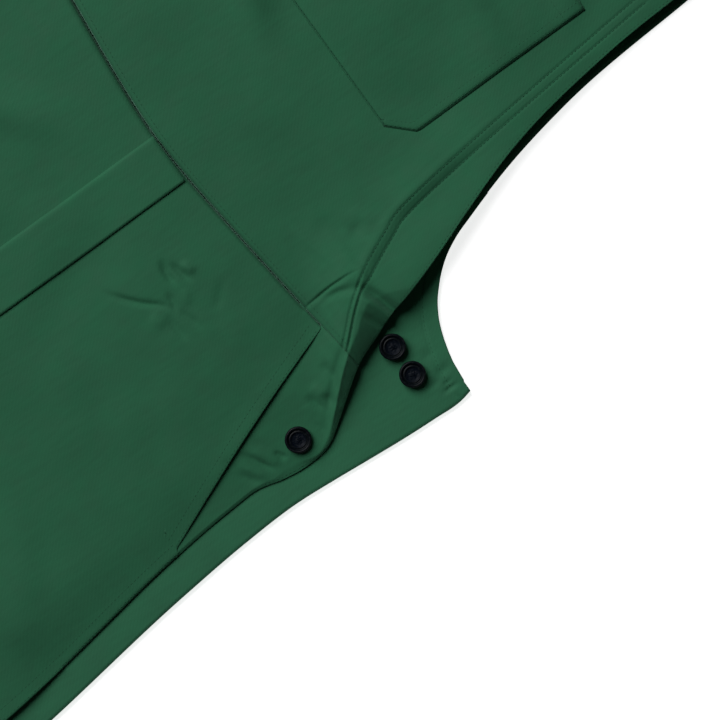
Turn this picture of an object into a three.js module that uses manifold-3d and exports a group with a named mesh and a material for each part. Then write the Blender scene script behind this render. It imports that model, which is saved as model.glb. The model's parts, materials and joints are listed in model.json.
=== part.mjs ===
// Bib-and-brace overalls laid flat, face up, with the wearer's left side opening unbuttoned.
// Millimetres, +Z up from the surface it lies on, +Y towards the bib, +X towards the wearer's left.
// Heights along the garment are written from the waist's top corner, and the whole is centred at the end.
import * as THREE from 'three';
import { mergeVertices } from 'three/addons/utils/BufferGeometryUtils.js';
import Module from 'manifold-3d';

const wasm = await Module();
wasm.setup();

// ---- Driving dimensions -------------------------------------------------------------------------
const clothThickness = 1.2;      // a doubled, hemmed layer of twill
const clearance = 0.3;           // between layers that lie face to face
const frontLift = 8.6;           // underside of the front layer above the surface
const extensionLift = 2.9;       // underside of the side extension, which holds the tacks below it

const waistHalf = 252;           // fold line at the waist's top corner
const bibTop = 290;
const bibTopHalf = 122;
const backBibTop = 275;
const backBibTopHalf = 128;
const backWaistSeam = -40;
const crotch = -322;
const hem = -1060;
const hemOuter = 306;
const hemInner = 84;

const waistSeamCentre = -69;     // front waist seam on the centre line
const waistSeamRise = 0.12;      // its slope towards the sides
const waistSeamEase = 40;        // length over which it levels out at the centre

const scoopRadius = 98;          // back armhole scoop
const scoopStart = 4;            // straight stretch at the waist corner before the scoop

const extensionWidth = 98;       // button stand, measured in from the fold line
const extensionBottom = -150;
const stripWidth = 20;           // from the fold line to the side seam below the opening

const pocketTop = waistHalf - 91;            // hip pocket mouth starts here on the waist seam
const pocketMouthEnd = [waistHalf - 30, -215];
const pocketFacing = 24;         // how far the side panel runs in under the front leg
const pocketBagWidth = 92;
const pocketBagBottom = -300;

const flapHinge = waistHalf - 98;    // fold line of the waist flap
const flapTop = 62;              // where the fold line meets the free edge
const flapPlay = 1.2;            // between the buttoned flap's edge and the outer button
const flapClosingSpread = 38;    // how gently the buttoned edge eases back, above and below

const buttonDiameter = 17.6;
const buttonHeight = 3.3;
const buttonRim = 1.9;           // width of the raised rim
const buttonDish = 1.1;          // depth of the dished middle
const neckRadius = 3;
const tackRadius = 5;
const tackThickness = 1.1;
const tackPinRadius = 1.2;
const tackPinLength = 5.4;
const shortNeck = 3;             // neck above the cloth on a waist button
const buttonholeLength = buttonDiameter + 2.4;

const waistButtonY = -24.5;
const waistButtonInset = [30, 52];   // outer and inner button, in from the fold line
const hipButtonInset = 33.5;
const hipButtonY = -109.5;

const strapWidth = 38;
const strapThickness = 1.2;
const strapTop = 520;
const strapLean = 4;             // degrees, towards the centre line
const bibButtonX = 98;
const bibButtonY = 262;

const sliderBar = 3;             // width of the slider's bars
const sliderThickness = 1.8;
const sliderHeight = 28;
const hookThickness = 1.4;
const hookWidth = 26;
const hookReach = 38;            // from the slider's lower bar to the button
const hookCurl = 1.2;            // thickness of the loop that closes round the bar
const keyholePlay = 1.8;         // round the cap
const keyholeSlot = 13;          // how far the slot runs on below the round opening

const bibPocketWidth = 190;
const bibPocketHeight = 150;
const bibPocketTop = 205;

const flyWidth = 36;
const flyLength = 190;

const wallWidth = 1.6;           // seam allowances that stand between the layers

// ---- Worked-out levels --------------------------------------------------------------------------
const frontTop = frontLift + clothThickness;
const extensionTop = extensionLift + clothThickness;
const patchLift = frontTop + clearance;
const patchThickness = 1;
const underFront = frontLift - clearance;
const lean = (strapLean * Math.PI) / 180;
const leaningTop = bibButtonY + (strapTop - bibButtonY) * Math.cos(lean) + (strapWidth / 2) * Math.sin(lean);
const overallCentre = (hem + leaningTop) / 2;

const cloth = { color: 0x26523c, roughness: 0.9, metalness: 0 };
const webbing = { color: 0x1f4531, roughness: 0.85, metalness: 0 };
const blackMetal = { color: 0x0c1013, roughness: 0.35, metalness: 0.6 };
const steel = { color: 0x9aa0a3, roughness: 0.3, metalness: 1 };

const overalls = new THREE.Group();
overalls.position.y = -overallCentre;

// ---- Helpers ------------------------------------------------------------------------------------
function add(name, geometry, finish, parent = overalls) {
  const mesh = new THREE.Mesh(geometry, new THREE.MeshStandardMaterial(finish));
  mesh.name = name;
  parent.add(mesh);
  return mesh;
}

// A flat piece: a closed outline of [x, y] points, mirrored when side is -1, raised from one height.
function plate(name, outline, bottom, thickness, finish, side = 1, holes = [], parent = overalls) {
  const turn = (points) => points.map(([x, y]) => new THREE.Vector2(side * x, y));
  const shape = new THREE.Shape(turn(outline));
  for (const hole of holes) shape.holes.push(new THREE.Path(turn(hole)));
  const geometry = new THREE.ExtrudeGeometry(shape, { depth: thickness, bevelEnabled: false });
  const mesh = add(name, geometry, finish, parent);
  mesh.position.z = bottom;
  return mesh;
}

const range = (from, to, steps) => Array.from({ length: steps + 1 }, (_, i) => from + ((to - from) * i) / steps);

// A line x(y) given by a few heights and widths, smoothed between them.
function edgeLine(points) {
  const curve = new THREE.CatmullRomCurve3(points.map(([x, y]) => new THREE.Vector3(x, y, 0)), false, 'centripetal');
  const samples = curve.getPoints(400);
  return (y) => {
    let i = samples.findIndex((p) => p.y <= y);
    if (i < 0) i = samples.length - 1;
    if (i === 0) return samples[0].x;
    const [a, b] = [samples[i - 1], samples[i]];
    return a.x + ((b.x - a.x) * (a.y - y)) / (a.y - b.y);
  };
}

function circle(x, y, radius, steps = 16) {
  return range(0, 2 * Math.PI, steps).slice(0, -1).map((t) => [x + radius * Math.cos(t), y + radius * Math.sin(t)]);
}

// A slot with round ends that lies across the garment.
function slot(x, y, length, width) {
  const half = (length - width) / 2;
  const end = (sign) => range(-Math.PI / 2, Math.PI / 2, 6)
    .map((t) => [x + sign * (half + (width / 2) * Math.cos(t)), y + sign * (width / 2) * Math.sin(t)]);
  return [...end(1), ...end(-1)];
}

function rectangle(x0, y0, x1, y1) {
  return [[x0, y0], [x1, y0], [x1, y1], [x0, y1]];
}

function solid(geometry) {
  const g = geometry.clone();
  g.deleteAttribute('normal');
  g.deleteAttribute('uv');
  const merged = mergeVertices(g, 1e-3);
  return new wasm.Manifold(new wasm.Mesh({
    numProp: 3,
    vertProperties: merged.attributes.position.array,
    triVerts: new Uint32Array(merged.index.array),
  }));
}

function fromSolid(made) {
  const mesh = made.getMesh();
  const geometry = new THREE.BufferGeometry();
  geometry.setAttribute('position', new THREE.BufferAttribute(mesh.vertProperties, 3));
  geometry.setIndex(new THREE.BufferAttribute(mesh.triVerts, 1));
  return geometry;
}

// ---- Lines of the garment, drawn for the wearer's left ------------------------------------------
const foldLine = edgeLine([
  [waistHalf, 0], [waistHalf - 8, -135], [waistHalf - 2, -230], [waistHalf + 14, -360],
  [waistHalf + 30, -640], [hemOuter, hem],
]);
const inseam = edgeLine([[3, crotch], [14, crotch - 58], [48, -640], [hemInner, hem]]);
const sideSeam = (y) => foldLine(y) - stripWidth;
const waistSeam = (x) => waistSeamCentre + waistSeamRise * (Math.hypot(x, waistSeamEase) - waistSeamEase);

// Free edge of the front, from the bib's top corner down to the side seam, pulled back as it lies open.
const openEdge = edgeLine([
  [bibTopHalf, bibTop], [bibTopHalf + 4, 200], [waistHalf - 112, 110], [waistHalf - 96, 62],
  [waistHalf - 79.5, 18], [waistHalf - 72, -12], [waistHalf - 57, -48], [waistHalf - 32, -83],
  [waistHalf - 23.5, -100], [waistHalf - 23.5, -115], [sideSeam(-150), -150],
]);
// Buttoned, the edge comes out as far as the outer waist button's cap.
const flapClosing = foldLine(waistButtonY) - waistButtonInset[0] - buttonDiameter / 2 - flapPlay - openEdge(waistButtonY);
const freeEdge = (y, closed) => openEdge(y)
  + closed * flapClosing * Math.exp(-(((y - waistButtonY) / flapClosingSpread) ** 2));

// Scoop of the back, from the waist corner in and up.
const scoop = range(0, 1.2, 8).map((t) => [
  foldLine(0) - scoopStart - scoopRadius * Math.sin(t),
  scoopRadius * (1 - Math.cos(t)),
]);

const pocketMouth = (y) => {
  const t = (waistSeam(pocketTop) - y) / (waistSeam(pocketTop) - pocketMouthEnd[1]);
  return pocketTop + (pocketMouthEnd[0] - pocketTop) * t;
};

// ---- Back layer ---------------------------------------------------------------------------------
function backLeg(side, word) {
  const outer = range(backWaistSeam - clearance, hem, 16).map((y) => [foldLine(y), y]);
  const inner = range(hem, crotch, 9).map((y) => [inseam(y), y]);
  const outline = [...outer, ...inner, [clearance / 2, crotch + 4], [clearance / 2, backWaistSeam - clearance]];
  plate(`back_leg_${word}`, outline, 0, clothThickness, cloth, side);
}

function backBib() {
  const right = [[foldLine(backWaistSeam), backWaistSeam], [foldLine(0), 0], ...scoop,
    [backBibTopHalf + 8, 160], [backBibTopHalf, backBibTop]];
  const left = right.map(([x, y]) => [-x, y]).reverse();
  plate('back_bib', [...right, ...left], 0, clothThickness, cloth);
}

// The back wraps round the side and lies on itself: wide at the opening, where it holds the buttons.
function sideExtension(side, word) {
  const outer = range(0, hem, 16).map((y) => [foldLine(y), y]);
  const strip = range(hem, extensionBottom, 12).map((y) => [sideSeam(y), y]);
  const standEdge = foldLine(0) - extensionWidth;
  const top = scoop.filter(([x]) => x > standEdge + 1).reverse();
  const holes = buttonPlaces.map(({ x, y }) => circle(x, y, tackPinRadius + clearance, 12));
  plate(`side_extension_${word}`,
    [...outer, ...strip, [standEdge, extensionBottom + 12], [standEdge, top[0][1] + 4], ...top],
    extensionLift, clothThickness, cloth, side, holes);
}

// A seam allowance that stands up between two layers, following a line.
function seamWall(name, line, from, to, bottom, top, side, steps = 14) {
  const inner = range(from, to, steps).map((y) => [line(y), y]);
  const outer = range(to, from, steps).map((y) => [line(y) - wallWidth, y]);
  plate(name, [...inner, ...outer], bottom, top - bottom, cloth, side);
}

// ---- Front layer --------------------------------------------------------------------------------
function frontLeg(side, word) {
  const waist = range(clearance / 2, pocketTop, 8).map((x) => [x, waistSeam(x) - clearance / 2]);
  const outer = range(pocketMouthEnd[1], hem, 14).map((y) => [sideSeam(y), y]);
  const inner = range(hem, crotch, 9).map((y) => [inseam(y), y]);
  plate(`front_leg_${word}`, [...waist, ...outer, ...inner, [clearance / 2, crotch + 4]],
    frontLift, clothThickness, cloth, side);
}

// The hip pocket's facing and the buttoned part of the opening, one level below the front leg.
function sidePanel(side, word, closed) {
  const first = sideTopY(closed);
  const outer = range(first, pocketMouthEnd[1] - 4, 14)
    .map((y) => [y > extensionBottom ? freeEdge(y, closed) : sideSeam(y), y]);
  const bottom = pocketMouthEnd[1] - 4;
  const left = pocketTop - pocketFacing;
  const outline = [...outer, [pocketMouthEnd[0] - pocketFacing - 12, bottom], [left, waistSeam(left) - clearance]];
  plate(`side_panel_${word}`, outline, underFront - clothThickness, clothThickness, cloth, side,
    [slot(hipButton.x, hipButton.y, buttonholeLength, 2 * (neckRadius + clearance))]);
}

// Where the waist seam meets the free edge.
function sideTopY(closed) {
  return range(-60, -40, 80).reduce((best, y) => {
    const miss = (v) => Math.abs(waistSeam(freeEdge(v, closed)) - v);
    return miss(y) < miss(best) ? y : best;
  }, -60) - clearance;
}

function bibPanel() {
  const half = (closed) => {
    const edge = range(bibTop, flapTop, 9).slice(0, -1).map((y) => [freeEdge(y, closed), y]);
    const seam = range(flapHinge - clearance, 0, 6).map((x) => [x, waistSeam(x)]);
    return [...edge, [flapHinge - clearance, flapTop], ...seam];
  };
  const left = half(0);
  const right = half(1).map(([x, y]) => [-x, y]).reverse().slice(1);
  const holes = [-1, 1].map((side) => circle(side * bibButtonX, bibButtonY, tackPinRadius + clearance, 12));
  plate('bib_panel', [...left, ...right], frontLift, clothThickness, cloth, 1, holes);
}

// The corner of the front that buttons over the side extension.
function waistFlap(side, word, closed) {
  const hinge = flapHinge + clearance;
  const free = range(flapTop, sideTopY(closed) + 2 * clearance, 12)
    .map((y) => [Math.max(freeEdge(y, closed), hinge + 0.5), y]);
  const last = free[free.length - 1];
  const seam = range(last[0] - 6, hinge, 3).map((x) => [x, waistSeam(x) + clearance]);
  const opening = closed ? 2 * (neckRadius + clearance) : 3;
  const holeEnd = closed ? waistInner.x + neckRadius + 2 : freeEdge(waistButtonY, 0) - 3;
  const hole = slot(holeEnd - buttonholeLength / 2, waistButtonY, buttonholeLength, opening);
  plate(`waist_flap_${word}`, [...free, ...seam], frontLift, clothThickness, cloth, side, [hole]);
}

function pocketBag(side, word) {
  const right = pocketTop - pocketFacing - clearance;
  const outline = [
    [right, waistSeam(right) - 6], [right + 40, pocketMouthEnd[1] - 10], [right + 30, pocketBagBottom + 20],
    [right + 6, pocketBagBottom], [right - pocketBagWidth + 20, pocketBagBottom],
    [right - pocketBagWidth, pocketBagBottom + 24], [right - pocketBagWidth, waistSeam(right) - 8],
  ];
  plate(`pocket_bag_${word}`, outline, underFront - 1, 1, cloth, side);
}

// ---- Pieces sewn on top -------------------------------------------------------------------------
function bibPocket() {
  const half = bibPocketWidth / 2;
  const bottom = bibPocketTop - bibPocketHeight;
  plate('bib_pocket', [[-half, bibPocketTop], [-half, bottom + 16], [-half + 16, bottom], [half - 16, bottom],
    [half, bottom + 16], [half, bibPocketTop]], patchLift, patchThickness, cloth);
}

function flyPlacket() {
  const top = waistSeamCentre - 2 * clearance;
  const curve = range(0, Math.PI / 2, 6)
    .map((t) => [flyWidth * Math.cos(t) - 4, top - flyLength + 40 - 40 * Math.sin(t)]);
  plate('fly_placket', [[-4, top], [flyWidth - 4, top], ...curve.slice(0, -1), [-4, top - flyLength]],
    patchLift, patchThickness, cloth);
}

// ---- Tack buttons -------------------------------------------------------------------------------
const place = (inset, y) => ({ x: foldLine(y) - inset, y });
const waistOuter = place(waistButtonInset[0], waistButtonY);
const waistInner = place(waistButtonInset[1], waistButtonY);
const hipButton = place(hipButtonInset, hipButtonY);
const buttonPlaces = [waistOuter, waistInner, hipButton];

// The cap, turned about its own axis: neck with a blind bore, flat underside, raised rim, dished top.
function buttonCap(name, x, y, clothTop, neck) {
  const radius = buttonDiameter / 2;
  const base = clothTop + neck;
  const bore = tackPinRadius + clearance;
  const profile = [
    [0, base + 0.6], [bore, base + 0.6], [bore, clothTop + clearance], [neckRadius, clothTop + clearance],
    [neckRadius, base], [radius - 0.8, base], [radius, base + 0.9], [radius, base + 2],
    [radius - buttonRim / 2, base + buttonHeight], [radius - buttonRim, base + buttonHeight - 0.1],
    [radius - buttonRim - 0.8, base + buttonHeight - buttonDish], [0, base + buttonHeight - buttonDish],
  ].map(([r, z]) => new THREE.Vector2(r, z));
  const cap = add(name, new THREE.LatheGeometry(profile, 20), blackMetal);
  cap.rotation.x = Math.PI / 2;
  cap.position.set(x, y, 0);
}

// The nail behind the cloth: a disc, and a pin that stands up into the cap's bore.
function tack(name, x, y, clothBottom, neck) {
  const top = clothBottom - clearance;
  const pinTop = clothBottom + clothThickness + neck + 0.3;
  const profile = [
    [0, top - tackThickness], [tackRadius, top - tackThickness], [tackRadius, top], [tackPinRadius, top],
    [tackPinRadius, pinTop], [0, pinTop],
  ].map(([r, z]) => new THREE.Vector2(r, z));
  const nail = add(name, new THREE.LatheGeometry(profile, 12), steel);
  nail.rotation.x = Math.PI / 2;
  nail.position.set(x, y, 0);
}

function tackButton(name, x, y, clothBottom, neck) {
  buttonCap(name, x, y, clothBottom + clothThickness, neck);
  tack(name.replace('button', 'tack'), x, y, clothBottom, neck);
}

// ---- Straps and their fastenings ----------------------------------------------------------------
const hookBore = Math.hypot(sliderBar, sliderThickness) / 2 + 0.35;
const barLevel = patchLift + hookBore + hookCurl;    // middle of the slider's bars
const sliderLift = barLevel - sliderThickness / 2;
const sliderLow = bibButtonY + hookReach;            // middle of its lower bar
const sliderHigh = sliderLow + sliderHeight - sliderBar;
const sliderMiddle = (sliderLow + sliderHigh) / 2;

// Through the slider and over its middle bar, up past the bib, round a fold, and back underneath.
function strapBand() {
  const half = strapThickness / 2;
  const high = patchLift + half;
  const over = sliderLift + sliderThickness + clearance + half;
  const radius = (high - half) / 2;
  const fold = range(Math.PI / 2, -Math.PI / 2, 10)
    .map((t) => [strapTop - half - radius + radius * Math.cos(t), half + radius + radius * Math.sin(t)]);
  const end = backBibTop + clearance + (strapWidth / 2) * Math.sin(lean) + 0.1;
  const run = [[sliderMiddle - 6.6, high + 0.8], [sliderMiddle - 2.2, over - 0.3], [sliderMiddle, over],
    [sliderMiddle + 2.2, over - 0.3], [sliderMiddle + 8, high + 0.8], [sliderMiddle + 9.6, high],
    ...fold, [end, half]];
  const offset = (sign) => run.map(([y, z], i) => {
    const [a, b] = [run[Math.max(i - 1, 0)], run[Math.min(i + 1, run.length - 1)]];
    const length = Math.hypot(b[0] - a[0], b[1] - a[1]);
    return [y - (sign * half * (b[1] - a[1])) / length, z + (sign * half * (b[0] - a[0])) / length];
  });
  return [...offset(1), ...offset(-1).reverse()];
}

// A side profile of [y, z] points, drawn out across the garment by a width about the middle.
function across(profile, width) {
  const shape = new THREE.Shape(profile.map(([y, z]) => new THREE.Vector2(y, z)));
  const geometry = new THREE.ExtrudeGeometry(shape, { depth: width, bevelEnabled: false });
  geometry.translate(0, 0, -width / 2);
  geometry.applyMatrix4(new THREE.Matrix4().makeBasis(
    new THREE.Vector3(0, 1, 0), new THREE.Vector3(0, 0, 1), new THREE.Vector3(1, 0, 0)));
  return geometry;
}

function hookGeometry() {
  const keyRadius = buttonDiameter / 2 + keyholePlay;
  const slotHalf = neckRadius + 1;
  const bottom = bibButtonY - keyRadius - keyholeSlot;
  const open = Math.asin(slotHalf / keyRadius);
  const round = range(-Math.PI / 2 + open, 1.5 * Math.PI - open, 20)
    .map((t) => [keyRadius * Math.cos(t), bibButtonY + keyRadius * Math.sin(t)]);
  const slotEnd = range(0, Math.PI, 6)
    .map((t) => [-slotHalf * Math.cos(t), bottom + slotHalf - slotHalf * Math.sin(t)]);
  const half = hookWidth / 2;
  const shape = new THREE.Shape([[-half, sliderLow - 2], [-half, bibButtonY - 4], [-half + 4, bottom - 2],
    [-4, bottom - 4], [4, bottom - 4], [half - 4, bottom - 2], [half, bibButtonY - 4], [half, sliderLow - 2]]
    .map(([x, y]) => new THREE.Vector2(x, y)));
  shape.holes.push(new THREE.Path([...round, ...slotEnd].map(([x, y]) => new THREE.Vector2(x, y))));
  const blade = new THREE.ExtrudeGeometry(shape, { depth: hookThickness, bevelEnabled: false });
  blade.translate(0, 0, patchLift);

  const ring = (radius, from, to) => range(from, to, 12)
    .map((t) => [sliderLow + radius * Math.cos(t), barLevel + radius * Math.sin(t)]);
  const curl = across([...ring(hookBore + hookCurl, -2.6, 2.6), ...ring(hookBore, 2.6, -2.6)], hookWidth - 2);
  return fromSolid(solid(blade).add(solid(curl)));
}

function strapSet(side, word) {
  const set = new THREE.Group();
  set.position.set(side * bibButtonX, bibButtonY, 0);
  set.rotation.z = side * lean;
  overalls.add(set);
  const shift = (geometry) => geometry.translate(0, -bibButtonY, 0);
  add(`strap_${word}`, shift(across(strapBand(), strapWidth)), webbing, set);

  const half = strapWidth / 2 + sliderBar + 0.6;
  const window = (y0, y1) => rectangle(-half + sliderBar, y0 + sliderBar / 2, half - sliderBar, y1 - sliderBar / 2);
  const slider = plate(`strap_slider_${word}`,
    rectangle(-half, sliderLow - sliderBar / 2, half, sliderHigh + sliderBar / 2), sliderLift, sliderThickness,
    blackMetal, 1, [window(sliderLow, sliderMiddle), window(sliderMiddle, sliderHigh)], set);
  shift(slider.geometry);
  add(`strap_hook_${word}`, shift(hookGeometry()), blackMetal, set);
}

// ---- Assembly -----------------------------------------------------------------------------------
backBib();
bibPanel();
bibPocket();
flyPlacket();
for (const [side, word, closed] of [[1, 'left', 0], [-1, 'right', 1]]) {
  backLeg(side, word);
  sideExtension(side, word);
  frontLeg(side, word);
  sidePanel(side, word, closed);
  waistFlap(side, word, closed);
  pocketBag(side, word);
  seamWall(`side_fold_${word}`, foldLine, 0, hem, clothThickness + clearance, extensionLift - clearance, side);
  seamWall(`side_seam_${word}`, (y) => sideSeam(y) - 0.2, pocketMouthEnd[1] - 6, hem,
    extensionTop + clearance, underFront, side);
  seamWall(`inseam_${word}`, (y) => inseam(y) + wallWidth, hem, crotch - 3, clothThickness + clearance, underFront, side);

  tackButton(`waist_button_outer_${word}`, side * waistOuter.x, waistOuter.y, extensionLift, shortNeck);
  const innerNeck = closed ? patchLift - extensionTop + clearance : shortNeck;
  tackButton(`waist_button_inner_${word}`, side * waistInner.x, waistInner.y, extensionLift, innerNeck);
  tackButton(`hip_button_${word}`, side * hipButton.x, hipButton.y, extensionLift,
    underFront - extensionTop + 2 * clearance);
  tackButton(`bib_button_${word}`, side * bibButtonX, bibButtonY, frontLift, hookThickness + 2.6);
  strapSet(side, word);
}

export default overalls;
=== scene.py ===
import json
import math
from functools import partial
import bpy
import numpy as np
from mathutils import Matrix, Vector

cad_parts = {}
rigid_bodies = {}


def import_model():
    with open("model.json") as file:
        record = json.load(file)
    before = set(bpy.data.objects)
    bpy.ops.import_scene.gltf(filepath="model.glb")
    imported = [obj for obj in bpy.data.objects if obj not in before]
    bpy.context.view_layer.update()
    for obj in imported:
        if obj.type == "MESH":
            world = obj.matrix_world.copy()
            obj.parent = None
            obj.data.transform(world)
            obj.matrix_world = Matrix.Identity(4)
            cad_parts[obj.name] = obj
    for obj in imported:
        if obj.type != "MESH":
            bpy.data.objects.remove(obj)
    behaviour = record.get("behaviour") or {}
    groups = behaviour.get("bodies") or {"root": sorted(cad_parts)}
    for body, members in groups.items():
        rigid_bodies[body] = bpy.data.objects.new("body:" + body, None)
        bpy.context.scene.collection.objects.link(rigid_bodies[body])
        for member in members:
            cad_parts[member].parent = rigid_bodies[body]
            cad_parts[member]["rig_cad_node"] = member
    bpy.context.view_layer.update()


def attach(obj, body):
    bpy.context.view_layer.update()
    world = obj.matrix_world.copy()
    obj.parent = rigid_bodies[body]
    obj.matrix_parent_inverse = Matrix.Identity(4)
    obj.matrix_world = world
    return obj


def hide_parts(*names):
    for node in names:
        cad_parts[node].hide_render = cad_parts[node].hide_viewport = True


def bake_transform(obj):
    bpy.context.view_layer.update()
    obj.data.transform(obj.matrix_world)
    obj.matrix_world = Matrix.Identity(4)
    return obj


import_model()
print("stage: frame loaded")

# Lengths are in millimetres here and heights along the garment count from the waist's top corner;
# place() shifts and scales them into the shared frame.
frameShift = 269.652
twillThickness = 0.8


def place(points):
    # Millimetres in garment coordinates to metres in the frame: add the shift to y, then divide by 1000.
    p = np.array(points, float).reshape(-1, 3).copy()
    p[:, 1] += frameShift
    return p / 1000


def smoothLine(points):
    # A cubic through the points, its slope at each one taken from the neighbours; gives x for y.
    p = np.array(sorted(points, key=lambda q: q[1]), float)
    xs, ys = p[:, 0], p[:, 1]
    slope = np.gradient(xs, ys)

    def at(y):
        y = np.clip(np.asarray(y, float), ys[0], ys[-1])
        i = np.clip(np.searchsorted(ys, y) - 1, 0, len(ys) - 2)
        h = ys[i + 1] - ys[i]
        t = (y - ys[i]) / h
        return ((1 + 2 * t) * (1 - t) ** 2 * xs[i] + t * (1 - t) ** 2 * h * slope[i]
                + t * t * (3 - 2 * t) * xs[i + 1] + t * t * (t - 1) * h * slope[i + 1])
    return at


def easeBetween(y, heights, values):
    # Straight interpolation of values over heights, smoothed by a cosine ease inside each span.
    heights, values = np.array(heights, float), np.array(values, float)
    order = np.argsort(heights)
    heights, values = heights[order], values[order]
    y = np.clip(np.asarray(y, float), heights[0], heights[-1])
    i = np.clip(np.searchsorted(heights, y) - 1, 0, len(heights) - 2)
    t = (y - heights[i]) / (heights[i + 1] - heights[i])
    t = 0.5 * t + 0.5 * (0.5 - 0.5 * np.cos(np.pi * t))
    return values[i] + (values[i + 1] - values[i]) * t


def ramp(v, low, high):
    # 0 below low, 1 above high, and a smooth step between.
    t = np.clip((np.asarray(v, float) - low) / (high - low), 0, 1)
    return t * t * (3 - 2 * t)


# The garment's main lengths, and where its buttons are.
garment = dict(crotch=-322, hem=-1060, strip=20, hipSpread=2.8, bibTop=290, backTop=275, backSeam=-40,
               standWidth=98, mouthTop=161, mouthEnd=(222, -215), mouthHollow=2.2,
               waistSeam=-69, waistSlope=0.12, waistBend=40)
waistButtons = [(220.349, -24.5), (198.349, -24.5)]
hipButton = (211.046, -109.5)
# How far the buttoned front comes out at the waist, and over what height.
flapReach = dict(out=25.9, spread=38)

# Lines of the garment, each as x for y: the fold at the side, the inseam, the back's scoop and the open edge.
foldLine = smoothLine([(250.5, 4), (253.2, -9), (252.6, -30), (251.1, -55), (248.9, -80), (246.4, -107),
                       (244.4, -135), (245.5, -175), (250, -230), (266, -360),
                       (282, -640), (306, -1060)])
inseam = smoothLine([(3, -322), (14, -380), (48, -640), (84, -1060)])
scoopLine = smoothLine([(128, 275), (137, 160), (148, 105), (159.1, 67.7), (165.2, 50.1), (172.8, 36.4),
                        (184.1, 23.5), (194.5, 14.9), (207.1, 8.3), (219.7, 4.2), (235, 1.2), (250.2, 0)])
openEdgeLine = smoothLine([(122, 290), (126.5, 200), (141.3, 110), (156.9, 62.9), (165.2, 40.4), (172.9, 17.8),
                           (177.5, 1.7), (180.7, -12.1), (186.4, -27.4), (194.3, -47.7), (209, -69.8),
                           (218.6, -83.4), (224.6, -92.5), (227.6, -101), (228.4, -111), (228.1, -121.6),
                           (226.4, -132.5), (224.6, -143.3), (223, -154)])


def sideSeam(y):
    # The fold less the strip beside it, which widens by hipSpread near the hip.
    return foldLine(y) - garment["strip"] - garment["hipSpread"] * ramp(y, -330, -190)


def freeEdge(y, closed):
    # The front's free edge: open, or brought out by a Gaussian to the outer waist button,
    # and led over into the side seam below the panel.
    out = flapReach["out"] * np.exp(-((y - waistButtons[0][1]) / flapReach["spread"]) ** 2)
    return openEdgeLine(y) + closed * out + (sideSeam(y) - openEdgeLine(y)) * ramp(-y, 132, 160)


def waistSeam(x):
    # Hyperbola: level at the centre line, and rising at waistSlope towards the sides.
    bend = garment["waistBend"]
    return garment["waistSeam"] + garment["waistSlope"] * (np.hypot(x, bend) - bend)


def pocketMouth(y):
    # Straight from the waist seam to the side, less half a sine wave as a slight hollow.
    start, (endX, endY) = garment["mouthTop"], garment["mouthEnd"]
    top = float(waistSeam(start))
    t = (top - y) / (top - endY)
    return start + (endX - start) * t - garment["mouthHollow"] * np.sin(np.pi * np.clip(t, 0, 1))


def sampled(line, top, bottom, count=160):
    # Points along a line that gives x for y, evenly spaced in height.
    y = np.linspace(top, bottom, count)
    return np.column_stack([line(y), y])


def distanceTo(path, x, y):
    # Shortest distance from every point to a polyline, one segment after another.
    best = np.full(np.shape(x), 1e9)
    for (ax, ay), (bx, by) in zip(path[:-1], path[1:]):
        dx, dy = bx - ax, by - ay
        t = np.clip(((x - ax) * dx + (y - ay) * dy) / (dx * dx + dy * dy), 0, 1)
        best = np.minimum(best, np.hypot(x - ax - t * dx, y - ay - t * dy))
    return best


def smoothPath(points, count=160):
    # Catmull-Rom curve through the points, sampled evenly in its parameter.
    p = np.array(points, float)
    p = np.vstack([2 * p[0] - p[1], p, 2 * p[-1] - p[-2]])
    t = np.linspace(0, len(points) - 1 - 1e-6, count)
    i = t.astype(int)
    f = (t - i)[:, None]
    a, b, c, d = p[i], p[i + 1], p[i + 2], p[i + 3]
    return 0.5 * (2 * b + (c - a) * f + (2 * a - 5 * b + 4 * c - d) * f ** 2 + (3 * b - a - 3 * c + d) * f ** 3)


# Directions and phases of the waves that run through the cloth.
wavePhases = np.random.RandomState(11)
waveTable = [(wavePhases.uniform(0, np.pi), wavePhases.uniform(0, 2 * np.pi)) for _ in range(28)]


def waves(x, y, wavelength, first, count):
    # Sum of sines that run in different directions, each with its own phase, divided back to about 1.
    total = 0
    for k in range(first, first + count):
        angle, phase = waveTable[k]
        size = wavelength * (1 + 0.22 * (k - first))
        total = total + np.sin(2 * np.pi * (x * math.cos(angle) + y * math.sin(angle)) / size + phase)
    return total / math.sqrt(count)


openPath = {closed: sampled(lambda y: freeEdge(y, closed), garment["bibTop"], -320, 320) for closed in (0, 1)}

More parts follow.
